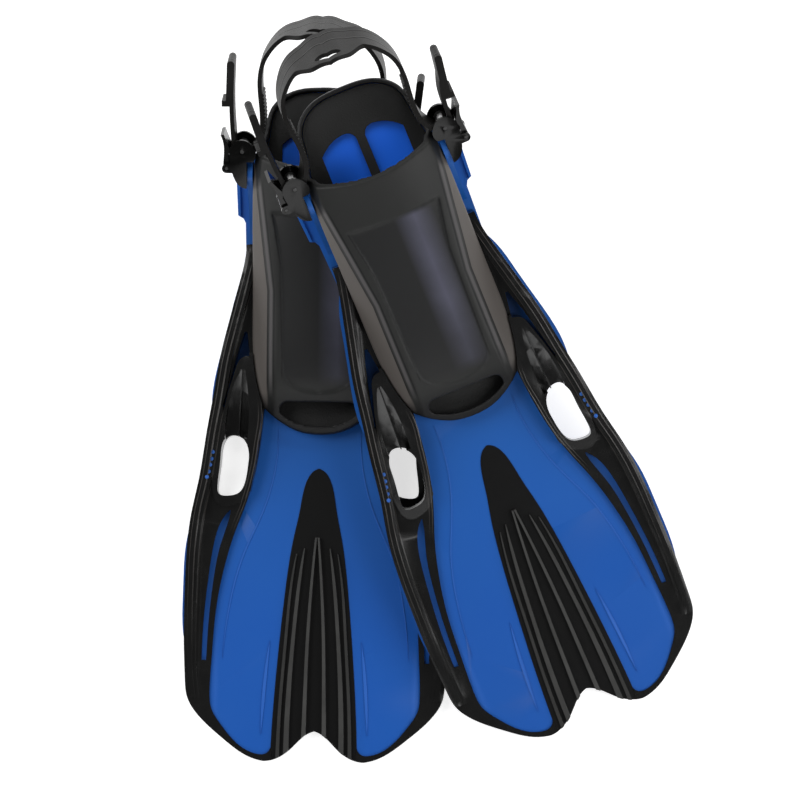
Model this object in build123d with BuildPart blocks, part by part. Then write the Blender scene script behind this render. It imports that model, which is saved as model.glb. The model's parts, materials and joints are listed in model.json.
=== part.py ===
from build123d import *
from math import cos, pi, radians, sin
import os

# A pair of open-heel swim fins, in millimetres, +Z up.
# The back fin lies flat: origin on the floor under the middle of its toe rim, +Y towards the heel.
# The front fin lies across it, tips on the floor and heel raised.

# Overall sizes of one fin.
blade_length = 223.5  # toe rim to tip notch
foot_length = 256.0  # toe rim to heel edge
half_width = 98.0  # centre line to outer rail edge

# The outlines are drawn for these sizes and stretched to the ones above.
drawn_blade = 223.5
drawn_foot = 256.0
drawn_half_width = 98.0

# Blue frame.
web_bottom = 2.5
web_thick = 3.2
panel_rib_rise = 0.8

# Foot pocket.
instep_height = 66.0
drawn_instep = 66.0
wall_thick = 3.5
insole_thick = 3.0
panel_sink = 1.2
groove_width = 1.3

# Side rails and channel.
rail_height = 33.0
drawn_rail = 33.0
rib_width = 9.0
crest_width = 3.6
channel_thick = 7.5
grip_thick = web_bottom

# Heel strap, in the plane that swings about the swivel pins.
pin_y = 188.0
pin_z = 38.0
strap_thick = 3.2
leg_half_width = 9.0
pad_low = 12.0  # heel pad below and above the swing plane
pad_high = 19.0
loop_rise = 18.0
loop_width = 35.0
slot_length = 20.0
slot_height = 8.5
tail_thick = 5.6
tail_grip = 33.0
strap_reach = 116.0  # pin axis to middle of heel pad
drawn_reach = 116.0
tooth_size = 1.2
tooth_count = 12
long_tail = 87.0
short_tail = 73.0

# Buckle, lever and pins.
arm_inner = 51.2
arm_thick = 3.8
arm_head_radius = 11.0
swivel_radius = 3.0
swivel_head_radius = 5.2
swivel_head_thick = 1.7
side_gap = 0.4
running_gap = 0.05
lug_thick = 5.1
plate_gap_half = 10.0
plate_thick = 2.2
roller_x = 58.6
roller_v = 20.0
roller_radius = 4.2
roller_pin_radius = 1.5
strap_gap = 0.45
lever_pin_radius = 1.25
lever_pin_x = 70.2
lever_pin_v = 7.0

# How the two fins lie.
back_strap_rise = 24.0
front_strap_rise = 25.0
front_turn = 23.2
front_tilt = 9.4
front_notch = (200.7, -187.0)  # where the front fin's tip notch stands over the floor
tip_reach = 246.0  # toe rim to the far end of the tips

width_scale = half_width / drawn_half_width
blade_scale = blade_length / drawn_blade
foot_scale = foot_length / drawn_foot
web_top = web_bottom + web_thick
swivel_y = pin_y * foot_scale
roller_reach = roller_radius + strap_gap + strap_thick / 2
housing_half = plate_gap_half + plate_thick


def spot(x, y):
    # A drawn point stretched to the fin's size.
    return (x * width_scale, y * (blade_scale if y < 0 else foot_scale))


def spots(*pairs):
    return [spot(x, y) for x, y in pairs]


# Plan outlines of the right half, tip to heel.
rail_edge = spots(
    (37, -246), (52, -241), (67, -230.3), (80, -219.3), (89.5, -209), (94.5, -200), (96.5, -186),
    (97.8, -155), (97.6, -120), (96.4, -88), (93.6, -64), (88.2, -38), (82.5, 0), (79, 20), (74.2, 50),
    (67.2, 80), (60.8, 106), (57.2, 122), (56, 136),
)
frame_edge = spots(
    (37, -242), (51, -237.5), (65, -228), (77, -217.5), (86, -207), (90.5, -198), (93.5, -180),
    (98.6, -153), (99.4, -120), (98.2, -88), (94.6, -70), (84, -38), (79, -5), (80.8, 16), (76.4, 50),
    (69.2, 80), (61.8, 108), (55, 124), (54, 136),
)
channel_edge = spots(
    (0, -28.5), (5, -31.5), (9.7, -40), (13.7, -60), (17.8, -80), (22.3, -110), (25.4, -140),
    (28, -170), (30.2, -200), (32, -236),
)
panel_outer = spots(
    (40, -241), (50, -238), (60, -230.5), (70, -218.5), (76.4, -208), (78, -195), (76.6, -165),
    (74.6, -136), (69.5, -106), (61.5, -77), (53.4, -55), (47.3, -33), (43.8, -12), (41.2, 14),
)
toe_rim = spots((0, -3.5), (15, -1.6), (28, 4.6), (41, 15))
shoe_side = spots(
    (41, 15), (45, 27), (49.3, 50), (50.4, 90), (50.9, 140), (50.9, 180), (48.8, 203), (45, 220),
    (40.5, 240), (27, 252), (0, 256),
)
window_outer = spots((65.5, -60.5), (72, -69.5), (76.8, -85), (80.4, -110), (83.3, -140), (84.3, -172))
window_inner = spots((81, -172), (79.5, -140), (76.4, -110), (71.6, -85), (66.8, -70), (64.6, -60.5))


def outboard(x):
    # Sideways place of a buckle feature: its distance from the arm never changes.
    return x - arm_inner + arm_inner * width_scale


def half_face(*curves):
    # Closed face from curves that run end to end, straight lines filling the gaps.
    with BuildSketch() as face:
        with BuildLine():
            ends = []
            for points in curves:
                if len(points) > 2:
                    Spline(*points)
                else:
                    Line(*points)
                ends.append((points[0], points[-1]))
            for here, there in zip(ends, ends[1:] + ends[:1]):
                if (Vector(*here[1]) - Vector(*there[0])).length > 0.001:
                    Line(here[1], there[0])
        make_face()
    return face.sketch


def grown(ring, distance):
    # Anticlockwise ring of points, each moved outwards square to its neighbours.
    moved = []
    for before, here, after in zip(ring[-1:] + ring[:-1], ring, ring[1:] + ring[:1]):
        along = Vector(after[0] - before[0], after[1] - before[1]).normalized()
        moved.append((here[0] + distance * along.Y, here[1] - distance * along.X))
    return moved


def ribbon(edge, half_thick, count):
    # Flat band of even thickness about a curve.
    near = []
    far = []
    for k in range(count + 1):
        heading = edge % (k / count)
        across = Vector(-heading.Y, heading.X, 0) * half_thick
        near.append(edge @ (k / count) + across)
        far.append(edge @ (k / count) - across)
    with BuildSketch() as face:
        with BuildLine():
            Spline(*near)
            Line(near[-1], far[-1])
            Spline(*far[::-1])
            Line(far[0], near[0])
        make_face()
    return face.sketch


def both_sides(part):
    return part + mirror(part, about=Plane.YZ)


def prism(face, bottom, top):
    # Upright solid on a plan face.
    with BuildPart() as solid:
        with BuildSketch(Plane.XY.offset(bottom)):
            add(face)
        extrude(amount=top - bottom)
    return solid.part


def side_curve(points, level):
    # Wide solid between a level and a smooth side-view curve given as (y, z).
    with BuildPart() as solid:
        with BuildSketch(Plane.YZ):
            with BuildLine():
                Spline(*points)
                Polyline(points[-1], (points[-1][0], level), (points[0][0], level), points[0])
            make_face()
        extrude(amount=2 * half_width, both=True)
    return solid.part


outer_half = half_face(
    spots((0, -223.5), (9, -228.5), (18, -237.5), (27, -243.6), (37, -246)), rail_edge,
    (rail_edge[-1], spot(0, 136)), (spot(0, 136), spot(0, -223.5)),
)
channel_half = half_face(
    channel_edge, (channel_edge[-1], spot(30, -252)), (spot(30, -252), spot(0, -252)),
    (spot(0, -252), channel_edge[0]),
)
panel_half = half_face(
    channel_edge, spots((32, -236), (35, -240), (40, -241)), panel_outer, (panel_outer[-1], toe_rim[-1]),
    toe_rim[::-1], (toe_rim[0], channel_edge[0]),
)
shoe_half = half_face(toe_rim, shoe_side, (shoe_side[-1], toe_rim[0]))
slot_window = half_face(window_outer, window_inner)

def edge_strip(start, end):
    # Long thin face that follows the outer rail edge, between two distances inside it.
    outline = [point for point in rail_edge if -205 * blade_scale < point[1]]
    near = [(x - start, y) for x, y in outline]
    far = [(x - end, y) for x, y in outline]
    return half_face(near, (near[-1], far[-1]), far[::-1], (far[0], near[0]))


# ---- blue frame: blade panels, foot plate and the two arms ----
def make_frame():
    inner_web = half_face(
        spots((0, -221), (10, -226), (20, -235), (28, -240.5), (37, -242)), frame_edge,
        (frame_edge[-1], spot(0, 136)), (spot(0, 136), spot(0, -221)),
    )
    slot = half_face(
        spots((0, -32), (4, -36), (7.5, -45), (11, -62), (15, -82), (19.6, -112), (22.8, -142),
              (25.6, -172), (27.6, -200), (29, -225)),
        (spot(29, -225), spot(29, -252)), (spot(29, -252), spot(0, -252)), (spot(0, -252), spot(0, -32)),
    )
    foot_plate = half_face(
        (spot(0, 120), spot(47.5, 120)),
        spots((47.5, 120), (48, 160), (47.4, 190), (44, 212), (38, 238), (25, 249), (0, 252.5)),
        (spot(0, 252.5), spot(0, 120)),
    )
    with BuildSketch() as shelf:
        with BuildLine():
            Polyline(*spots((46, 120), (57.2, 122), (58.4, 154), (60.2, 157.5), (64, 159.5), (66.4, 198), (62, 206),
                            (46, 206)), close=True)
        make_face()
    with BuildSketch() as lip:
        with BuildLine():
            Polyline(*spots((62, 158.6), (64, 159.5), (66.4, 198), (64, 202)), close=True)
        make_face()
    plate = prism(inner_web, web_bottom, web_top) - prism(slot, 0, web_top + 1)
    plate += prism(foot_plate, web_bottom, web_top) + prism(shelf.sketch, web_bottom, web_top)
    plate += prism(lip.sketch, web_bottom, web_top + 3)
    plate -= prism(make_vent(1.6), 0, web_top + 1)
    lens = half_face(
        spots((34, -157), (38.6, -190), (39.4, -226)), spots((39.4, -226), (36.6, -195), (34, -157)),
    )
    long_rib = half_face(
        spots((31, 0), (33, -30), (42, -62), (55, -92), (64.8, -130), (69, -170)),
        spots((69, -170), (64, -130), (54.2, -92.6), (41.2, -62.4), (32.2, -30), (31, 0)),
    )
    plate += prism(lens, web_top - 1, web_top + panel_rib_rise)
    plate += prism(long_rib, web_top - 1, web_top + panel_rib_rise * 0.7)
    return both_sides(plate + make_arm())


def make_vent(grow):
    ring = spots((51.6, -24), (54.2, -40), (58.6, -47.6), (66, -50), (73.6, -48.6), (74.6, -42), (72.6, -24),
                 (70.5, -10), (67, -5.6), (60, -5.6), (53.4, -11.5))
    with BuildSketch() as vent:
        with BuildLine():
            Spline(*grown(ring, grow), periodic=True)
        make_face()
    return vent.sketch


def make_arm():
    # Upright strut on the foot plate, with a round head about the swivel pin.
    inner = Plane.YZ.offset(outboard(arm_inner))
    with BuildPart() as arm:
        with BuildSketch(inner) as strut:
            with BuildLine():
                Polyline(
                    (swivel_y - 44, web_top - 1), (swivel_y - 33, web_top + 7), (swivel_y - 9.5, pin_z + 5.5),
                    (swivel_y, pin_z), (swivel_y + 10.5, pin_z - 3.3), (swivel_y - 1, web_top - 1), close=True,
                )
            make_face()
            with Locations((swivel_y, pin_z)):
                Circle(arm_head_radius)
        extrude(amount=arm_thick)
        with BuildSketch(inner) as bore:
            with Locations((swivel_y, pin_z)):
                Circle(swivel_radius)
        extrude(amount=arm_thick, mode=Mode.SUBTRACT)
    return arm.part


# ---- foot pocket ----
def shoe_blank(shrink, low):
    # Lofted top of the shoe. The walls lean in to a bevel, then run to a nearly flat panel.
    rise = instep_height / drawn_instep
    stations = (
        (-6, 2, 38, 11.5, 33, 13.6, 14.5), (20, 9, 38.3, 25, 33, 29, 31), (50, 13, 37.4, 37, 32, 41.3, 43.5),
        (90, 19, 37.8, 43.6, 33, 47.6, 50.5), (130, 25, 41, 48.8, 36.6, 53, 56.6),
        (158, 28, 46, 49, 41.6, 54.4, 61), (185, 30, 48.6, 48.6, 44.6, 55.6, 66), (262, 30, 48.6, 48.6, 44.6, 55.6, 66),
    )
    with BuildPart() as blank:
        for y, edge_z, outer_x, outer_z, inner_x, inner_z, crown in stations:
            x, station = spot(1, y)
            with BuildSketch(Plane.XZ.offset(-station)) as section:
                with BuildLine():
                    high = [v * rise - shrink for v in (edge_z, outer_z, inner_z, crown)]
                    high = [max(v, low + 1 + 0.2 * k) for k, v in enumerate(high)]
                    left = [(-60 * x, high[0]), (-(outer_x - shrink) * x, high[1]), (-(inner_x - shrink) * x, high[2])]
                    right = [(-a, b) for a, b in left[::-1]]
                    Polyline((right[2][0], low), (left[0][0], low), *left)
                    ThreePointArc(left[2], (0, high[3]), right[0])
                    Polyline(*right, (right[2][0], low))
                make_face()
        loft()
    return blank.part


def shoe_face(shrink):
    # Whole shoe outline, moved inwards.
    right = toe_rim[:-1] + shoe_side
    ring = grown(right + [(-x, y) for x, y in right[-2:0:-1]], -shrink)
    corner = len(toe_rim) - 1
    with BuildSketch() as face:
        with BuildLine():
            Spline(*ring[corner:len(ring) - corner + 1])
            Spline(*ring[len(ring) - corner:], *ring[:corner + 1])
        make_face()
    return face.sketch


def panel_face(grow):
    # Sunken instep panel: U-shaped towards the toe, corners and a hollow edge towards the instep.
    side = spots((0, 26.5), (14, 29), (23.5, 36), (26.5, 48), (27.4, 80), (28.4, 120), (31.4, 142), (35.5, 156.5))
    top = spots((20, 154.4), (0, 153.4))
    right = side + top
    ring = grown(right + [(-x, y) for x, y in right[-2:0:-1]], grow)
    corner = len(side) - 1
    with BuildSketch() as face:
        with BuildLine():
            Spline(*ring[len(ring) - corner:], *ring[:corner + 1])
            Spline(*ring[corner:len(ring) - corner + 1])
        make_face()
    return face.sketch


def make_pocket():
    rise = instep_height / drawn_instep
    solid = prism(shoe_face(0), 0, instep_height + 5) & shoe_blank(0, 0)
    hollow = prism(shoe_face(wall_thick), web_top, instep_height + 5)
    hollow &= shoe_blank(wall_thick, web_top - 2)
    panel = prism(panel_face(0), web_top, instep_height + 5)
    ring = prism(panel_face(groove_width), web_top, instep_height + 5) - panel
    outer = shoe_blank(0, 0)
    solid -= panel - outer.moved(Location((0, 0, -panel_sink)))
    solid -= ring - outer.moved(Location((0, 0, -2 * panel_sink)))
    for side in (-1, 1):
        stripe = half_face(
            [(side * x, y) for x, y in spots((38.6, 18), (37.8, 60), (38.6, 100), (41.8, 132), (47.2, 160))],
            [(side * x, y) for x, y in spots((48.2, 160), (42.8, 132), (39.6, 100), (38.8, 60), (39.6, 18))],
        )
        solid -= prism(stripe, web_top, instep_height + 5) - outer.moved(Location((0, 0, -panel_sink)))
    solid -= hollow
    # Open toe between the front lip and the roof, then the slanted cut that opens the instep and collar.
    with BuildPart() as toe_slot:
        with BuildSketch(Plane.XY.offset(web_top + 3)) as slot:
            with BuildLine():
                Polyline(spot(-28.5, 19.5), spot(28.5, 19.5), spot(28.5, 11))
                Spline(spot(28.5, 11), spot(15, 4.2), spot(0, 2.2), spot(-15, 4.2), spot(-28.5, 11))
                Line(spot(-28.5, 11), spot(-28.5, 19.5))
            make_face()
            fillet(slot.vertices().group_by(Axis.Y)[-1], 5)
        extrude(amount=60)
    solid -= toe_slot.part
    line = [(186, 67.5), (193, 61.5), (200.5, 52), (206, 42), (211.5, 31), (223, 20.5), (240, 13.5), (262, 11.5)]
    line = [(spot(0, y)[1], z * rise) for y, z in line]
    solid -= side_curve(line, 100 * rise)
    return solid



def make_insole():
    # Soft pad on the pocket floor with two windows onto the blue plate.
    with BuildPart() as pad:
        with BuildSketch(Plane.XY.offset(web_top)):
            add(shoe_face(wall_thick + 0.4))
        extrude(amount=insole_thick)
        with BuildSketch(Plane.XY.offset(web_top)) as windows:
            with BuildLine():
                Polyline(spot(32, 213), spot(32, 180), spot(3.5, 180), spot(3.5, 217))
                Spline(spot(3.5, 217), spot(7, 222), spot(15, 222.6), spot(25, 218.6), spot(32, 213))
            make_face()
            mirror(about=Plane.YZ)
        extrude(amount=insole_thick, mode=Mode.SUBTRACT)
    return pad.part


def grip_face():
    return shoe_face(wall_thick + 2.5)


def make_grip():
    # Ribbed non-slip pad under the foot plate, flush with the rails' soles.
    grooves = 13
    with BuildPart() as grip:
        with BuildSketch():
            add(grip_face())
        extrude(amount=grip_thick)
        with BuildSketch():
            with Locations((0, foot_length / 2)):
                with GridLocations(0, foot_length / (grooves + 3), 1, grooves):
                    Rectangle(60 * width_scale, 3)
        extrude(amount=grip_thick / 2, mode=Mode.SUBTRACT)
    return grip.part


def make_channel(frame):
    # Flexing middle strip with a flat centre, two main ridges and lower outer ridges.
    low = web_top - 1.6
    base = prism(channel_half & outer_half, 1.0, web_top + 0.5)
    ridges = (
        (((1.6, -80), (4.4, -112), (6.8, -150), (8.4, -200), (9.4, -236)),
         ((6.2, -236), (5.8, -200), (4.6, -150), (2.6, -112), (0.2, -80)), channel_thick),
        (((9.8, -88), (14.2, -115), (17.6, -150), (20.6, -190), (22.4, -246)),
         ((18.6, -246), (17.4, -190), (15.0, -150), (12.0, -115), (9.2, -88)), channel_thick - 1.6),
        (((15.6, -92), (20.2, -120), (23.2, -155), (26.4, -200), (28.2, -250)),
         ((25.4, -250), (24.2, -200), (21.2, -155), (18.6, -120), (15.0, -92)), channel_thick - 2.6),
    )
    for outer, inner, rise in ridges:
        face = half_face(spots(*outer), spots(*inner)) & outer_half
        base += prism(face, low, low + rise)
    return both_sides(base) - frame


def rail_tops(*pairs):
    # Solid that limits the rail's height along the fin.
    tall = rail_height / drawn_rail
    return side_curve([(spot(0, y)[1], z * tall) for y, z in pairs], -1)


def make_rail(frame, shoe):
    # Right rail: low flange and tip border, tall outer rib with a crest, and the scoop that feeds the vent.
    high = rail_height + 5
    plan = outer_half - panel_half - channel_half - shoe_half
    opening = make_vent(0)
    plan -= opening
    flange = prism(plan, 0, high) & rail_tops(
        (-260, 7.0), (-200, 7.4), (-150, 8.4), (-100, 9.6), (-55, 11), (-20, 14), (40, 17), (90, 20), (150, 22),
    )
    shoulder = prism(edge_strip(-4, rib_width) & plan, 0, high) & rail_tops(
        (-260, 6.6), (-205, 7.6), (-175, 9.6), (-140, 12), (-100, 15.6), (-60, 19), (0, 23.5), (50, 28),
        (95, 30), (130, 27), (150, 23),
    )
    crest = prism(edge_strip(2.6, 2.6 + crest_width) & plan, 0, high) & rail_tops(
        (-260, 7.0), (-205, 8.2), (-175, 11), (-140, 14.5), (-100, 18.6), (-60, 22.4), (0, 27), (50, 31),
        (95, rail_height), (130, 30), (150, 26),
    )
    scoop_plan = half_face(
        spots((48, 54), (56, 54.6), (60.6, 48), (66.5, 30), (70.8, 12), (76, -8), (78.6, -40), (76, -54), (56, -54)),
        (spot(56, -54), spot(50, -46)), spots((50, -46), (46.8, -28), (44.4, -10), (43, 4), (42, 20)),
        (spot(42, 20), spot(48, 54)),
    )
    scoop = prism((scoop_plan & outer_half) - shoe_half - opening, 0, high) & rail_tops(
        (-60, 12), (-52, 14), (-30, 19), (0, 23), (30, 26), (54, 27), (80, 27),
    )
    solid = flange + shoulder + crest + scoop
    # The trough slopes down from the scoop's narrow end into the vent, with a low ridge along it.
    for x0, x1, tip in ((52.8, 59, 55.4), (59.8, 69.5, 57.3)):
        trough = half_face(
            spots((tip, 43), (x0 - 1, 10), (x0, -8)), (spot(x0, -8), spot(x1, -8)),
            spots((x1, -8), (x1 - 1, 10), (tip + 1.2, 43)), (spot(tip + 1.2, 43), spot(tip, 43)),
        )
        solid -= prism(trough, web_top, high) - rail_tops((-20, 6), (-8, 8), (20, 15), (44, 25), (60, 30))
    window = half_face(
        spots((52.2, 53.2), (53.4, 62), (54.6, 71.6)), (spot(54.6, 71.6), spot(56.6, 71.6)),
        spots((56.6, 71.6), (60, 61), (64.6, 44), (68.4, 28), (71.8, 15.4)), (spot(71.8, 15.4), spot(70.6, 15.4)),
        spots((70.6, 15.4), (66.4, 30), (63, 41), (59.8, 49.6), (52.2, 53.2)),
    )
    solid -= prism(window, web_bottom, high) + prism(slot_window, web_bottom, high)
    return solid - frame - shoe



# ---- heel strap, drawn in the plane that swings about the swivel axis ----
def swing_planes(rise):
    angle = radians(rise)
    origin = (0, swivel_y, pin_z)
    loop = Plane(origin=origin, x_dir=(1, 0, 0), z_dir=(0, -sin(angle), cos(angle)))
    side = Plane(origin=origin, x_dir=(0, cos(angle), sin(angle)), z_dir=(1, 0, 0))
    end = Plane(origin=origin, x_dir=(1, 0, 0), z_dir=(0, -cos(angle), -sin(angle)))
    return loop, side, end


def strap_line(tail_x, tail_v):
    # Middle line of half the strap: tail tip, round the roller, then up to the middle of the heel pad.
    x, v = outboard(roller_x), roller_v
    leave = radians(200)
    low = (x + roller_reach * cos(leave), v + roller_reach * sin(leave))
    reach = strap_reach / drawn_reach
    leg = [(47, 27), (43.9, 40), (44.4, 55), (45.4, 70), (44.2, 83), (40.2, 94), (33.6, 103.4), (24, 110.6),
           (12, 114.8), (0, drawn_reach)]
    with BuildLine() as line:
        Spline(
            (outboard(tail_x), tail_v), (x + roller_reach + 1.2, v + 24), (x + roller_reach, v),
            tangents=[(-0.06, -1), (0, -1)],
        )
        ThreePointArc((x + roller_reach, v), (x, v - roller_reach), low)
        Spline(
            low, *[(a * width_scale, b * reach) for a, b in leg],
            tangents=[(sin(leave), -cos(leave)), (-1, 0)],
        )
    return line.line


def make_strap(rise):
    loop, side, end = swing_planes(rise)
    right = strap_line(72.6, short_tail)
    left = mirror(strap_line(66.4, long_tail), about=Plane.YZ)
    tall = pad_high + loop_rise
    reach = strap_reach / drawn_reach
    across = strap_thick / 2
    with BuildSketch() as band:
        for line in (right, left):
            for edge in line.edges():
                add(ribbon(edge, across, 14))
    with BuildSketch() as teeth:
        for line in (right, left):
            leg = line.edges().sort_by(SortBy.LENGTH)[-1]
            for k in range(tooth_count):
                place = leg @ (0.12 + 0.022 * k)
                heading = leg % (0.12 + 0.022 * k)
                outward = Vector(heading.Y, -heading.X, 0)
                inward = outward if outward.X * place.X < 0 else outward * -1
                with Locations(place + inward * across):
                    Circle(tooth_size)
    # Each tail ends in a thick grip with a stop on its outer side.
    with BuildSketch() as grips:
        for side_sign, tail_x, tail_v in ((1, 72.6, short_tail), (-1, 66.4, long_tail)):
            lean = 4.0 if side_sign > 0 else -1.5
            foot = (side_sign * outboard(tail_x - lean), tail_v - tail_grip)
            tip = (side_sign * outboard(tail_x), tail_v)
            with BuildLine():
                Line(foot, tip)
            trace(line_width=tail_thick)
            with Locations(tip):
                Circle(tail_thick / 2)
            with Locations((foot[0] + side_sign * tail_thick / 2, foot[1] + 2)):
                Rectangle(tail_thick, 4.4)
    with BuildPart() as strap:
        with BuildSketch(loop.offset(-tall)):
            add(band.sketch)
            add(teeth.sketch)
            add(grips.sketch)
        extrude(amount=2 * tall)
        with BuildSketch(side):
            with BuildLine():
                steps = ((-5, 0), (50, 0), (70, 0.05), (84, 0.25), (94, 0.52), (104, 0.82), (111, 0.97), (129, 1))
                high = [(v * reach, leg_half_width + share * (pad_high - leg_half_width)) for v, share in steps]
                low = [(v * reach, -leg_half_width - share * (pad_low - leg_half_width)) for v, share in steps]
                Spline(*high)
                Line(high[-1], low[-1])
                Spline(*low[::-1])
                Line(low[0], high[0])
            make_face()
        extrude(amount=2 * half_width, both=True, mode=Mode.INTERSECT)
    # Finger loop standing on the upper edge of the heel pad.
    near_pad = end.offset(-strap_reach * 0.8)
    with BuildPart() as finger_loop:
        with BuildSketch(loop):
            add(band.sketch)
        extrude(amount=tall)
        with BuildSketch(near_pad):
            with BuildLine():
                rim = [(-1, 0), (-0.66, 0.3), (-0.36, 0.82), (0, 1), (0.36, 0.82), (0.66, 0.3), (1, 0)]
                rim = [(a * loop_width, pad_high - 4 + b * (loop_rise + 4)) for a, b in rim]
                Spline(*rim)
                Polyline(rim[-1], (rim[-1][0], 0), (rim[0][0], 0), rim[0])
            make_face()
        extrude(amount=-strap_reach * 0.5, mode=Mode.INTERSECT)
    with BuildPart() as whole:
        add(strap.part)
        add(finger_loop.part)
        with BuildSketch(near_pad):
            with Locations((0, pad_high + loop_rise / 2 - 1)):
                Ellipse(slot_length / 2, slot_height / 2)
        extrude(amount=-strap_reach * 0.5, mode=Mode.SUBTRACT)
    return whole.part


# ---- right buckle, lever, roller and pins ----
def make_buckle(rise):
    loop, side, end = swing_planes(rise)
    inner = arm_inner + arm_thick + side_gap
    top_v = roller_v - roller_reach - strap_thick / 2 - 0.2
    with BuildPart() as buckle:
        with BuildSketch(loop.offset(-housing_half)):
            with BuildLine():
                Polyline((outboard(inner), -8.4), (outboard(inner), top_v), (outboard(50.2), top_v + 0.6))
                Spline(
                    (outboard(50.2), top_v + 0.6), (outboard(50.6), 24), (outboard(58.6), 29), (outboard(66.8), 24),
                    (outboard(67.6), 12), (outboard(65.6), 2), (outboard(61), -6), (outboard(inner), -8.4),
                )
            make_face()
            with Locations((outboard(lever_pin_x), lever_pin_v)):
                Circle(lever_pin_radius + 2.2)
            with Locations((outboard(67), lever_pin_v)):
                Rectangle(6, 2 * lever_pin_radius + 4.4)
        extrude(amount=2 * housing_half)
        with BuildSketch(loop.offset(-plate_gap_half)):
            with Locations((outboard(60), top_v + 20)):
                Rectangle(40, 40)
            with Locations((outboard(66.6) + 10, 10)):
                Rectangle(20, 60)
        extrude(amount=2 * plate_gap_half, mode=Mode.SUBTRACT)
        with BuildSketch(loop.offset(-housing_half - 1)):
            with Locations((outboard(roller_x), roller_v)):
                Circle(roller_pin_radius)
            with Locations((outboard(lever_pin_x), lever_pin_v)):
                Circle(lever_pin_radius)
        extrude(amount=2 * housing_half + 2, mode=Mode.SUBTRACT)
        with BuildSketch(side):
            Circle(swivel_radius + running_gap)
        extrude(amount=2 * half_width, mode=Mode.SUBTRACT)
        with BuildSketch(side.offset(outboard(inner + lug_thick))):
            Circle(swivel_head_radius + 0.5)
        extrude(amount=half_width, mode=Mode.SUBTRACT)
    return buckle.part


def make_lever(rise):
    loop, side, end = swing_planes(rise)
    reach = plate_gap_half - 0.3
    with BuildPart() as lever:
        with BuildSketch(loop.offset(-reach)):
            with BuildLine():
                Spline(*[(outboard(x), v) for x, v in ((72.9, 5.4), (72.5, 14), (72.2, 22), (74.6, 32))])
                Line((outboard(74.6), 32), (outboard(72.2), 32.6))
                Spline(*[(outboard(x), v) for x, v in ((72.2, 32.6), (69.9, 26), (67.7, 21))])
                Polyline(*[(outboard(x), v) for x, v in ((67.7, 21), (67.7, 19.4), (69.2, 16), (68, 9), (72.9, 5.4))])
            make_face()
            with Locations((outboard(lever_pin_x), lever_pin_v)):
                Circle(lever_pin_radius + 1.8)
        extrude(amount=2 * reach)
        with BuildSketch(loop.offset(-reach)):
            with Locations((outboard(lever_pin_x), lever_pin_v)):
                Circle(lever_pin_radius + running_gap)
        extrude(amount=2 * reach, mode=Mode.SUBTRACT)
    return lever.part


def upright_pin(rise, x, v, radius, half_length, bore=0):
    # Round bar square to the strap's swing plane.
    loop, side, end = swing_planes(rise)
    with BuildPart() as bar:
        with BuildSketch(loop.offset(-half_length)):
            with Locations((outboard(x), v)):
                Circle(radius)
                if bore:
                    Circle(bore, mode=Mode.SUBTRACT)
        extrude(amount=2 * half_length)
    return bar.part


def make_swivel_pin():
    # Stud from the arm through the buckle's lug, with a flat head in the lug's counterbore.
    end_x = outboard(arm_inner + arm_thick + side_gap + lug_thick + side_gap)
    with BuildPart() as pin:
        with BuildSketch(Plane.YZ.offset(outboard(arm_inner) + 0.2)):
            with Locations((swivel_y, pin_z)):
                Circle(swivel_radius)
        extrude(amount=end_x - outboard(arm_inner) - 0.2)
        with BuildSketch(Plane.YZ.offset(end_x)):
            with Locations((swivel_y, pin_z)):
                Circle(swivel_head_radius)
        extrude(amount=swivel_head_thick)
    return pin.part


# ---- assembly ----
def front_place():
    # Where the front fin lies: turned in plan, then raised about the line where its tips meet the floor.
    flat = Location((0, tip_reach * blade_scale, 0))
    to_notch = (tip_reach * blade_scale - blade_length) * cos(radians(front_tilt))
    turn = radians(front_turn)
    x = front_notch[0] + to_notch * sin(turn)
    y = front_notch[1] - to_notch * cos(turn)
    return Location((x, y, 0), (0, 0, front_turn)) * Location((0, 0, 0), (front_tilt, 0, 0)) * flat


def shared_pieces():
    frame = make_frame()
    grip = make_grip()
    shoe = make_pocket() - frame - prism(grip_face(), 0, grip_thick)
    rail = make_rail(frame, shoe)
    return {
        "blade_frame": frame,
        "foot_pocket": shoe,
        "insole_pad": make_insole(),
        "sole_grip": grip,
        "channel_insert": make_channel(frame),
        "rail_right": rail,
        "rail_left": mirror(rail, about=Plane.YZ),
        "swivel_pin_right": make_swivel_pin(),
        "swivel_pin_left": mirror(make_swivel_pin(), about=Plane.YZ),
    }


def strap_pieces(rise):
    right = {
        "buckle": make_buckle(rise),
        "lever": make_lever(rise),
        "lever_pin": upright_pin(rise, lever_pin_x, lever_pin_v, lever_pin_radius, housing_half),
        "roller": upright_pin(rise, roller_x, roller_v, roller_radius, plate_gap_half - 0.3,
                              roller_pin_radius + running_gap),
        "roller_pin": upright_pin(rise, roller_x, roller_v, roller_pin_radius, housing_half),
    }
    pieces = {"heel_strap": make_strap(rise)}
    for name, part in right.items():
        pieces[name + "_right"] = part
        pieces[name + "_left"] = mirror(part, about=Plane.YZ)
    return pieces


os.makedirs("parts", exist_ok=True)
fixed = shared_pieces()
for fin, rise, place in (
    ("back", back_strap_rise, Location((0, 0, 0))), ("front", front_strap_rise, front_place()),
):
    for name, part in {**fixed, **strap_pieces(rise)}.items():
        piece = place * part
        piece.label = fin + "_" + name
        export_step(piece, "parts/" + piece.label + ".step")
        print(piece.label, round(piece.volume), len(piece.solids()), piece.is_valid)
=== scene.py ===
import bpy
import bmesh
from math import cos, radians, sin
from mathutils import Matrix, Vector
from mathutils.bvhtree import BVHTree
import json


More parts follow.
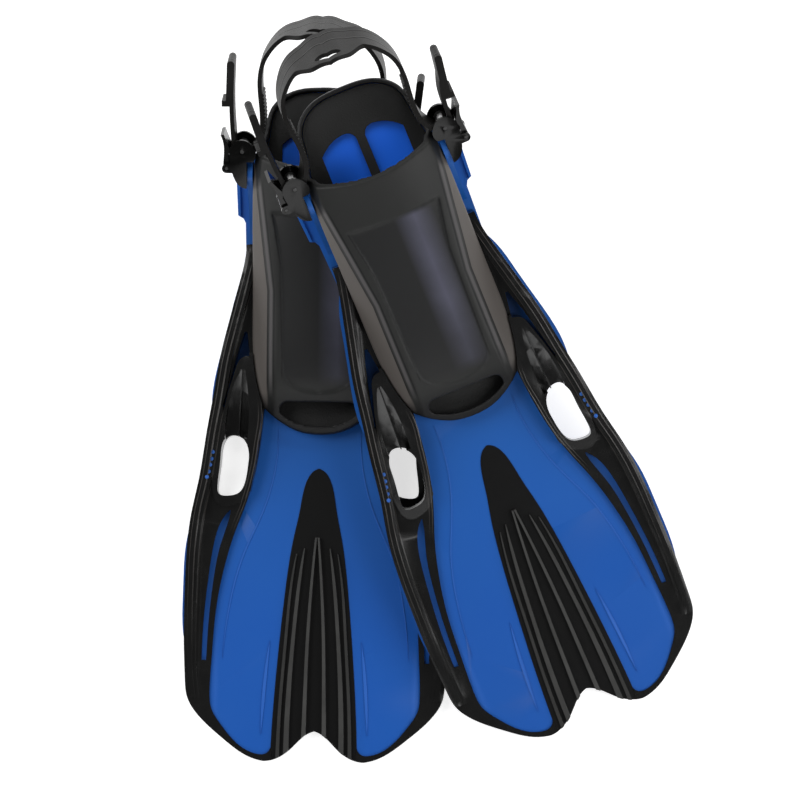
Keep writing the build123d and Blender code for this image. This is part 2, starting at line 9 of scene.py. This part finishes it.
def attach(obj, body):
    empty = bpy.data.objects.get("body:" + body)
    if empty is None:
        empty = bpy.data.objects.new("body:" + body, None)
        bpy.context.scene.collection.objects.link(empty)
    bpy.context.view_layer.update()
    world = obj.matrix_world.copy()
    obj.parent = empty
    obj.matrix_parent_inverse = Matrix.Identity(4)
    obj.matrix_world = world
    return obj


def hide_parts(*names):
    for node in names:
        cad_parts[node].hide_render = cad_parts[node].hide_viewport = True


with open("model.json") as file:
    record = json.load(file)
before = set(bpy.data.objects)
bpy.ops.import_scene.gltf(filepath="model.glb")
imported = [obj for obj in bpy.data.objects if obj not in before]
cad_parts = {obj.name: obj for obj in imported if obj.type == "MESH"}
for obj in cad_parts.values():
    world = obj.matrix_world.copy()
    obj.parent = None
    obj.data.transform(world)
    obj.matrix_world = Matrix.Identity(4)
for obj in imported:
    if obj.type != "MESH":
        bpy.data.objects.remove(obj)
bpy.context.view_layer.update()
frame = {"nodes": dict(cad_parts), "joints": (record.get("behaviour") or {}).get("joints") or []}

print("swim fins: frame loaded")

# how the front fin lies across the back one, in metres and degrees
pair = dict(turn=23.2, tilt=9.4, notch=(0.2007, -0.187), tipReach=0.246, bladeLength=0.2235)
offset = (pair["tipReach"] - pair["bladeLength"]) * cos(radians(pair["tilt"]))
frontPlace = (
    Matrix.Translation((
        pair["notch"][0] + offset * sin(radians(pair["turn"])),
        pair["notch"][1] - offset * cos(radians(pair["turn"])), 0))
    @ Matrix.Rotation(radians(pair["turn"]), 4, "Z")
    @ Matrix.Rotation(radians(pair["tilt"]), 4, "X")
    @ Matrix.Translation((0, pair["tipReach"], 0))
)
places = {"back": Matrix.Identity(4), "front": frontPlace}
swing = dict(pivot=(0, 0.188, 0.038), back=24, front=25)
strapPlaces = {
    fin: place @ Matrix.Translation(swing["pivot"]) @ Matrix.Rotation(radians(swing[fin]), 4, "X")
    for fin, place in places.items()
}
fins = ("back", "front")
sides = (("right", 1), ("left", -1))


# camera first
view = dict(target=(0.0606, 0.0213, 0.04), azimuth=32, elevation=85.5, roll=-31, distance=4.0,
            frameAcross=0.5895357)


def makeCamera():
    a, e, r = (radians(view[key]) for key in ("azimuth", "elevation", "roll"))
    toCamera = Vector((sin(a) * cos(e), -cos(a) * cos(e), sin(e)))
    right = Vector((cos(a), sin(a), 0))
    up = toCamera.cross(right)
    right = right * cos(r) + up * sin(r)
    up = toCamera.cross(right)
    lens = bpy.data.cameras.new("camera")
    lens.lens = view["distance"] / view["frameAcross"] * lens.sensor_width
    lens.clip_end = 20
    camera = bpy.data.objects.new("camera", lens)
    turned = Matrix((right, up, toCamera)).transposed().to_4x4()
    camera.matrix_world = Matrix.Translation(Vector(view["target"]) + toCamera * view["distance"]) @ turned
    bpy.context.scene.collection.objects.link(camera)
    bpy.context.scene.camera = camera


makeCamera()
print("camera placed")


class Wire:
    # a shader output, so that maths on it reads as maths
    def __init__(self, socket):
        self.socket = socket
        self.tree = socket.id_data

    def maths(self, operation, first, second, clamp=False):
        node = self.tree.nodes.new("ShaderNodeMath")
        node.operation = operation
        node.use_clamp = clamp
        for slot, value in zip(node.inputs, (first, second)):
            if isinstance(value, Wire):
                self.tree.links.new(value.socket, slot)
            else:
                slot.default_value = value
        return Wire(node.outputs[0])

    def __add__(self, other):
        return self.maths("ADD", self, other)

    def __radd__(self, other):
        return self.maths("ADD", other, self)

    def __sub__(self, other):
        return self.maths("SUBTRACT", self, other)

    def __rsub__(self, other):
        return self.maths("SUBTRACT", other, self)

    def __mul__(self, other):
        return self.maths("MULTIPLY", self, other)

    def __rmul__(self, other):
        return self.maths("MULTIPLY", other, self)

    def __abs__(self):
        return self.maths("ABSOLUTE", self, 0)

    def least(self, other):
        return self.maths("MINIMUM", self, other)

    def most(self, other):
        return self.maths("MAXIMUM", self, other)

    def rise(self, low, high):
        # 0 at low, 1 at high, straight between
        return self.maths("MULTIPLY_ADD", self, 1 / (high - low), clamp=True).bias(-low / (high - low))

    def bias(self, amount):
        self.socket.node.inputs[2].default_value = amount
        return self

    def near(self, middle, reach):
        # 1 at the middle, falling to 0 at that reach each way
        return abs(self - middle).rise(reach, 0)


class Finish:
    # a material, with one way to add any node
    def __init__(self, name, **sockets):
        self.material = bpy.data.materials.new(name)
        self.material.use_nodes = True
        self.tree = self.material.node_tree
        self.shader = self.tree.nodes["Principled BSDF"]
        self.set(**sockets)

    def put(self, slot, value):
        if isinstance(value, Wire):
            self.tree.links.new(value.socket, slot)
        elif isinstance(value, (tuple, list)) and len(value) == 3 and len(slot.default_value) == 4:
            slot.default_value = (*value, 1)
        else:
            slot.default_value = value

    def set(self, **sockets):
        for name, value in sockets.items():
            self.put(self.shader.inputs[name.replace("_", " ")], value)

    def node(self, kind, settings=None, output=0, **sockets):
        made = self.tree.nodes.new("ShaderNode" + kind)
        for key, value in (settings or {}).items():
            setattr(made, key, value)
        for name, value in sockets.items():
            # n0, n1 and so on stand for sockets by number
            numbered = name[0] == "n" and name[1:].isdigit()
            self.put(made.inputs[int(name[1:]) if numbered else name.replace("_", " ")], value)
        return Wire(made.outputs[output])

    def finCoords(self, place):
        # object coordinates as seen from a fin or its strap: across, along and up, in millimetres
        where = self.node("TexCoord", output="Object")
        where = self.node("Mapping", {"vector_type": "TEXTURE"}, Vector=where,
                          Location=place.to_translation()[:], Rotation=place.to_euler()[:])
        large = self.node("VectorMath", {"operation": "SCALE"}, n0=where, Scale=1000.0)
        split = self.node("SeparateXYZ", Vector=large)
        return large, [Wire(split.socket.node.outputs[k]) for k in range(3)]

    def noise(self, where, scale, detail=3.0, rough=0.5):
        return self.node("TexNoise", Vector=where, Scale=scale, Detail=detail, Roughness=rough)

    def follow(self, along, points, start=-250, reach=400, wide=100):
        # sideways place of an outline, in millimetres, at a distance along the fin
        made = self.tree.nodes.new("ShaderNodeFloatCurve")
        stops = [((y - start) / reach, x / wide) for x, y in points]
        line = made.mapping.curves[0]
        line.points[0].location = stops[0]
        line.points[1].location = stops[-1]
        for stop in stops[1:-1]:
            line.points.new(*stop)
        made.mapping.update()
        self.put(made.inputs["Value"], (along - start) * (1 / reach))
        return Wire(made.outputs[0]) * wide

    def mix(self, share, low, high):
        made = self.tree.nodes.new("ShaderNodeMix")
        made.data_type = "RGBA"
        for slot, value in zip((made.inputs[0], made.inputs[6], made.inputs[7]), (share, low, high)):
            self.put(slot, value)
        return Wire(made.outputs[2])

    def bump(self, height, strength, distance=0.001):
        self.set(Normal=self.node("Bump", Height=height, Strength=strength, Distance=distance))


def bladeFinish(fin):
    # satin blue plastic, a little paler and milkier towards the toe, with a painted highlight on the rib
    # tops
    blue = dict(deep=(0.004, 0.08, 0.385), pale=(0.009, 0.1, 0.395), rimPaleAndRibHighlight=(0.03, 0.13, 0.5),
                window=(0.012, 0.16, 0.95))
    f = Finish(fin + "_blue", IOR=1.38, Coat_IOR=1.42, Coat_Roughness=0.3)
    where, (x, y, z) = f.finCoords(places[fin])
    cloud = f.noise(where, 0.03, 2)
    grain = f.noise(where, 3.2, 2)
    scuff = f.noise(where, 0.9, 5, 0.7).rise(0.56, 0.72)
    pale = (y.rise(-150, -10) * 0.7 + cloud * 0.3).least(1)
    colour = f.mix(pale, blue["deep"], blue["pale"])
    rims = (abs(x).near(74, 3) * y.near(-190, 60)) * 0.35
    colour = f.mix(rims, colour, blue["rimPaleAndRibHighlight"])
    # painted highlight: the raised rib tops are lightened to stand in for their pale reflection lines
    ribHighlight = z.rise(5.85, 6.25) * (1 - y.rise(4, 12))
    colour = f.mix(ribHighlight * 0.5, colour, blue["rimPaleAndRibHighlight"])
    # painted light: the blue under the insole windows is painted brighter to offset the shade inside the
    # pocket
    colour = f.mix(y.rise(140, 150) * (1 - abs(x).rise(32, 36)), colour, blue["window"])
    f.set(Base_Color=colour, Roughness=0.38 + 0.06 * grain + 0.05 * scuff, Coat_Weight=0.1 + 0.05 * cloud)
    f.bump(grain * 0.5 + f.noise(where, 0.35, 2) * 0.5, 0.05, 0.0004)
    return f.material


def pocketFinish(fin):
    # dark rubber with a brownish wall, a painted highlight on the bevel between two painted shade lines,
    # and a painted bluish sheen highlight on the panel, with painted shade in the panel's groove and at
    # the toe slot and foot opening
    grey = dict(top=(0.0145, 0.015, 0.0145), wall=(0.085, 0.076, 0.07), bevel=(0.085, 0.08, 0.082),
                paintedSheen=(0.075, 0.076, 0.11), panel=(0.0095, 0.0098, 0.0102), black=(0.0035, 0.0035, 0.0038))
    f = Finish(fin + "_pocket_rubber", IOR=1.36)
    where, (x, y, z) = f.finCoords(places[fin])
    across = abs(x)
    cloud = f.noise(where, 0.05, 3)
    grain = f.noise(where, 4.5, 3, 0.6)
    fromBevel = across - 38 - (y - 100).most(0) * 0.125
    fromPanel = across - 26.5 - (y - 48).most(0) * 0.027 - (y - 120).most(0) * 0.15
    onPanel = (1 - fromPanel.rise(-1, 0.4)) * y.rise(30, 38) * (1 - y.rise(152, 156))
    face = f.mix(fromBevel.rise(-0.4, 0.6), grey["top"], grey["wall"])
    face = f.mix(onPanel, face, grey["panel"])
    # painted highlight: a bluish sheen streak down the panel
    paintedSheenStreak = x.near(14, 15) * onPanel * (y.rise(25, 90) * 0.7 + 0.3)
    face = f.mix(paintedSheenStreak * (0.6 + 0.5 * cloud), face, grey["paintedSheen"])
    # painted highlight: a paler band along the bevel
    bevel = fromBevel.near(-2.3, 1.7).rise(0, 0.6) * y.rise(22, 40) * (1 - y.rise(176, 184))
    face = f.mix(bevel * 0.75, face, grey["bevel"])
    # painted shade: dark lines along the bevel's creases and in the panel's groove
    bevelShadeLines = fromBevel.near(-4.7, 0.7).most(fromBevel.near(0.3, 0.7))
    bevelShadeLines = bevelShadeLines * y.rise(22, 34) * (1 - y.rise(170, 182))
    panelGrooveShade = fromPanel.near(0.65, 1.0) * y.rise(34, 40) * (1 - y.rise(155, 157))
    lines = bevelShadeLines.most(panelGrooveShade)
    face = f.mix(lines.rise(0, 0.7), face, grey["black"])
    # painted shade: the toe slot and foot opening are blackened
    openingShade = (1 - y.rise(14, 26)).most(y.rise(197, 208))
    face = f.mix(openingShade, face, grey["black"])
    f.set(Base_Color=face, Roughness=0.44 + 0.12 * grain - 0.1 * paintedSheenStreak)
    f.bump(grain, 0.12, 0.0003)
    return f.material


def glossFinish(fin, name, shade, rough, coat):
    # shiny moulded black with a little haze
    f = Finish(fin + name, IOR=1.24, Coat_IOR=1.33, Coat_Roughness=0.08)
    where, (x, y, z) = f.finCoords(places[fin])
    grain = f.noise(where, 5.0, 2)
    haze = f.noise(where, 0.08, 3)
    colour = f.mix(haze, (shade,) * 3, (shade * 2.2, shade * 2.2, shade * 2.1))
    f.set(Base_Color=colour, Roughness=rough + 0.08 * haze + 0.04 * grain, Coat_Weight=coat + 0.1 * haze)
    f.bump(grain * 0.4 + haze * 0.6, 0.05, 0.0004)
    return f.material


def railFinish(fin):
    # glossy rail with fine painted highlight lines that run along its outer edge and round the scoop
    # line is the colour of the painted highlight lines on the ridge edges
    rail = dict(black=(0.0022, 0.0022, 0.0024), haze=(0.0055, 0.0055, 0.0052), line=(0.13, 0.118, 0.11))
    edge = ((84, -215), (94.5, -200), (96.5, -186), (97.8, -155), (97.6, -120), (96.4, -88), (93.6, -64),
            (88.2, -38), (82.5, 0), (79, 20), (74.2, 50), (67.2, 80), (60.8, 106), (57.2, 122))
    panel = ((76.6, -165), (74.6, -136), (69.5, -106), (61.5, -77), (53.4, -55), (47.3, -33), (43.8, -12),
             (41.2, 14), (45, 27))
    f = Finish(fin + "_rail_gloss", IOR=1.4, Coat_IOR=1.45, Coat_Roughness=0.14)
    where, (x, y, z) = f.finCoords(places[fin])
    across = abs(x)
    grain = f.noise(where, 5.0, 2)
    haze = f.noise(where, 0.08, 3)
    inside = f.follow(y, edge) - across
    beside = across - f.follow(y, panel)
    # painted highlight: pale lines on the ridge edges along the outer edge and round the scoop
    outerHighlightLines = inside.near(2.6, 0.5) + inside.near(6.2, 0.5) * 0.8 + inside.near(9.4, 0.6) * 0.5
    outerHighlightLines = outerHighlightLines * y.rise(-170, -60) * (1 - y.rise(118, 130))
    scoopHighlightLines = (beside.near(1.3, 0.5) + beside.near(3.6, 0.5) * 0.6) * y.rise(-80, -50) * (1 - y.rise(8, 20))
    lines = (outerHighlightLines + scoopHighlightLines) * (0.5 + 0.5 * f.noise(where, 0.03, 2))
    face = f.mix(haze, rail["black"], rail["haze"])
    f.set(Base_Color=f.mix(lines.least(1) * 0.65, face, rail["line"]),
          Roughness=0.2 + 0.08 * haze + 0.04 * grain, Coat_Weight=0.25 + 0.1 * haze)
    f.bump(grain * 0.1 + haze * 0.2 + lines.least(1), 0.35, 0.0004)
    return f.material


def channelFinish(fin):
    # the ridges' crests are painted paler than the valleys between them, a painted highlight by height
    f = Finish(fin + "_channel_gloss", IOR=1.4, Coat_IOR=1.45, Coat_Roughness=0.18)
    where, (x, y, z) = f.finCoords(places[fin])
    grain = f.noise(where, 4.0, 3)
    haze = f.noise(where, 0.07, 3)
    # painted highlight: ridge crests lightened by height
    crestHighlight = z.rise(6.6, 10.4)
    face = f.mix(crestHighlight * (0.5 + 0.5 * haze), (0.0012, 0.0012, 0.0013), (0.062, 0.062, 0.06))
    f.set(Base_Color=face, Roughness=0.27 + 0.08 * grain, Coat_Weight=0.15 + 0.1 * haze)
    f.bump(grain * 0.5 + haze * 0.5, 0.06, 0.0004)
    return f.material


def strapFinish(fin):
    # strap rubber with two raised lines along it and fine sideways drag marks
    f = Finish(fin + "_strap_rubber", IOR=1.22)
    where, (x, y, z) = f.finCoords(strapPlaces[fin])
    grain = f.noise(where, 3.0, 4, 0.6)
    drag = f.noise(f.node("VectorMath", {"operation": "MULTIPLY"}, n0=where, n1=(0.12, 0.12, 2.4)), 1.0, 3)
    lines = z.near(6.3, 0.9).most(z.near(-6.3, 0.9))
    face = f.mix(drag, (0.0028, 0.0027, 0.0026), (0.009, 0.0084, 0.0078))
    f.set(Base_Color=face, Roughness=0.3 + 0.12 * grain + 0.08 * drag)
    f.bump(lines.rise(0, 0.8) + grain * 0.1 + drag * 0.15, 0.7, 0.0005)
    return f.material


def padFinish(fin):
    # matte moulded pad with a fine pimpled texture
    f = Finish(fin + "_pad_rubber", IOR=1.47)
    where, (x, y, z) = f.finCoords(places[fin])
    pimples = f.node("TexVoronoi", Vector=where, Scale=0.55).rise(0.1, 0.45)
    grain = f.noise(where, 2.5, 3, 0.6)
    f.set(Base_Color=f.mix(grain, (0.0045, 0.0047, 0.005), (0.011, 0.011, 0.0105)),
          Roughness=0.5 + 0.2 * grain)
    f.bump((1 - pimples) * 0.6 + grain * 0.4, 0.35, 0.0004)
    return f.material


def metalFinish(name, low, high, rough):
    f = Finish(name, Metallic=1.0)
    where, (x, y, z) = f.finCoords(places["back"])
    brushed = f.noise(where, 2.5, 4, 0.7)
    f.set(Base_Color=f.mix(brushed, (low,) * 3, (high,) * 3), Roughness=rough + 0.2 * brushed)
    f.bump(brushed, 0.08, 0.0002)
    return f.material


finishes = {}
for fin in fins:
    finishes[fin] = {
        "blue": bladeFinish(fin), "pocket": pocketFinish(fin), "rail": railFinish(fin),
        "channel": channelFinish(fin), "strap": strapFinish(fin), "pad": padFinish(fin),
        "buckle": glossFinish(fin, "_buckle_gloss", 0.0012, 0.13, 0.2),
        "lever": glossFinish(fin, "_lever_gloss", 0.0025, 0.16, 0.25),
    }
rollerSteel = metalFinish("roller_steel", 0.35, 0.6, 0.2)
darkSteel = metalFinish("dark_steel", 0.04, 0.09, 0.3)
print("finishes mixed")


def cadCopy(node):
    # merged copy of a CAD solid's mesh
    bm = bmesh.new()
    bm.from_mesh(frame["nodes"][node].data)
    bmesh.ops.remove_doubles(bm, verts=bm.verts, dist=0.000002)
    return bm


def flatCopy(node):
    # the same, with its flat faces whole again
    bm = cadCopy(node)
    bmesh.ops.dissolve_limit(bm, angle_limit=radians(0.5), use_dissolve_boundaries=False, verts=bm.verts,
                             edges=bm.edges)
    return bm


def addPiece(name, bm, body, material, angle, *replaced):
    mesh = bpy.data.meshes.new(name)
    bm.to_mesh(mesh)
    bm.free()
    mesh.materials.append(material)
    for face in mesh.polygons:
        face.use_smooth = True
    if angle:
        mesh.set_sharp_from_angle(angle=radians(angle))
    piece = bpy.data.objects.new(name, mesh)
    bpy.context.scene.collection.objects.link(piece)
    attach(piece, body)
    if replaced:
        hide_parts(*replaced)
    return piece


def modifier(piece, kind, **settings):
    made = piece.modifiers.new(kind.lower(), kind)
    for key, value in settings.items():
        setattr(made, key, value)
    return made


def mouldedPiece(name, node, body, material, voxel, smoothing):
    # rubber moulding: every edge softened
    piece = addPiece(name, cadCopy(node), body, material, 0, node)
    modifier(piece, "REMESH", mode="VOXEL", voxel_size=voxel, use_smooth_shade=True)
    modifier(piece, "SMOOTH", factor=0.5, iterations=smoothing)
    return piece


def crispPiece(name, node, body, material, width, segments=2):
    # clean edges, each with a small round
    piece = addPiece(name, flatCopy(node), body, material, 30, node)
    modifier(piece, "BEVEL", width=width, segments=segments, limit_method="ANGLE", angle_limit=radians(35),
             use_clamp_overlap=True, harden_normals=True)
    return piece


def buckleShell(name, fin, sideName, body):
    # housing with its outer rims rolled over like a moulded shell
    shell = dict(rim=0.0019, rise=0.0002, sharp=50)
    node = fin + "_buckle_" + sideName
    bm = flatCopy(node)
    roller = fin + "_roller_turn_" + sideName
    square = Vector(next(j["axis"] for j in frame["joints"] if j["name"] == roller)).normalized()
    heights = [v.co.dot(square) for v in bm.verts]
    top, low = max(heights), min(heights)
    rims = []
    for edge in bm.edges:
        level = [v.co.dot(square) for v in edge.verts]
        onRim = min(level) > top - shell["rise"] or max(level) < low + shell["rise"]
        if onRim and len(edge.link_faces) == 2 and edge.calc_face_angle(0) > radians(shell["sharp"]):
            rims.append(edge)
    bmesh.ops.bevel(bm, geom=rims, offset=shell["rim"], offset_type="OFFSET", affect="EDGES", segments=5,
                    profile=0.5, clamp_overlap=True, material=-1)
    addPiece(name, bm, body, finishes[fin]["buckle"], 40, node)


def ventStuds(fin):
    # five small blue studs outboard of each vent, seated on the rail
    stud = dict(radius=0.0015, sunk=0.0001, flat=0.7,
                places=((78.2, -18.3), (79, -23.3), (80, -27.7), (81, -32.7), (82, -37)))
    place = places[fin]
    down = (place.to_3x3() @ Vector((0, 0, -1))).normalized()
    for side, sign in sides:
        rail = cadCopy(fin + "_rail_" + side)
        seats = BVHTree.FromBMesh(rail)
        rail.free()
        bm = bmesh.new()
        for x, y in stud["places"]:
            above = place @ Vector((sign * x / 1000, y / 1000, 0.09))
            spot, normal, index, distance = seats.ray_cast(above, down)
            if spot is None:
                continue
            turn = normal.to_track_quat("Z", "Y").to_matrix().to_4x4()
            squat = Matrix.Diagonal((1, 1, stud["flat"], 1))
            seat = Matrix.Translation(spot - normal * stud["sunk"]) @ turn @ squat
            bmesh.ops.create_uvsphere(bm, u_segments=16, v_segments=10, radius=stud["radius"], matrix=seat)
        addPiece(fin + "_vent_studs_" + side, bm, fin + "_fin", finishes[fin]["blue"], 0)


for fin in fins:
    body, strap = fin + "_fin", fin + "_strap"
    look = finishes[fin]
    mouldedPiece(fin + "_pocket", fin + "_foot_pocket", body, look["pocket"], 0.00108, 4)
    crispPiece(fin + "_channel", fin + "_channel_insert", body, look["channel"], 0.0006, 3)
    crispPiece(fin + "_blade", fin + "_blade_frame", body, look["blue"], 0.0005)
    crispPiece(fin + "_strap_moulding", fin + "_heel_strap", strap, look["strap"], 0.0007, 3)
    for node in ("insole_pad", "sole_grip"):
        crispPiece(fin + "_" + node + "_moulding", fin + "_" + node, body, look["pad"], 0.0006, 3)
    for side, sign in sides:
        rail, lever, roller = (fin + kind + side for kind in ("_rail_", "_lever_", "_roller_"))
        crispPiece(rail + "_moulding", rail, body, look["rail"], 0.0007, 3)
        buckleShell(fin + "_buckle_" + side + "_shell", fin, side, strap)
        crispPiece(lever + "_claw", lever, lever, look["lever"], 0.0006, 3)
        turned = (("_roller_", roller, rollerSteel), ("_roller_pin_", strap, darkSteel),
                  ("_lever_pin_", strap, darkSteel), ("_swivel_pin_", body, look["buckle"]))
        for kind, owner, finish in turned:
            crispPiece(fin + kind + side + "_turned", fin + kind + side, owner, finish, 0.00025)
    ventStuds(fin)
    print(fin, "fin built")


# stage: pale floor and soft studio light
def makeStage():
    bm = bmesh.new()
    bmesh.ops.create_grid(bm, x_segments=1, y_segments=1, size=6)
    mesh = bpy.data.meshes.new("floor")
    bm.to_mesh(mesh)
    bm.free()
    floor = bpy.data.objects.new("floor", mesh)
    floor.location.z = -0.0005
    pale = Finish("pale_floor", Base_Color=(0.7, 0.7, 0.7), Roughness=0.9, Emission_Color=(1, 1, 1),
                  Emission_Strength=0.68)
    mesh.materials.append(pale.material)
    bpy.context.scene.collection.objects.link(floor)


def makeLight(name, spot, aim, width, depth, power):
    data = bpy.data.lights.new(name, "AREA")
    data.shape = "RECTANGLE"
    data.size, data.size_y, data.energy = width, depth, power
    light = bpy.data.objects.new(name, data)
    light.location = spot
    light.rotation_euler = (Vector(aim) - Vector(spot)).to_track_quat("-Z", "Y").to_euler()
    bpy.context.scene.collection.objects.link(light)


makeStage()
middle = (0.06, 0.02, 0.02)
makeLight("left_softbox", (-1.5, 0.6, 1.3), middle, 1.0, 2.2, 29)
makeLight("right_softbox", (1.7, -0.3, 1.3), middle, 0.9, 2.2, 25)
makeLight("heel_softbox", (0.2, 1.8, 1.2), middle, 2.0, 0.8, 20)
makeLight("tip_softbox", (0.1, -1.8, 1.3), middle, 2.0, 0.8, 14)
world = bpy.data.worlds.new("studio")
world.use_nodes = True
world.node_tree.nodes["Background"].inputs[0].default_value = (1, 1, 1, 1)
world.node_tree.nodes["Background"].inputs[1].default_value = 0.12
bpy.context.scene.world = world
bpy.context.scene.view_settings.view_transform = "Standard"
print("stage lit")
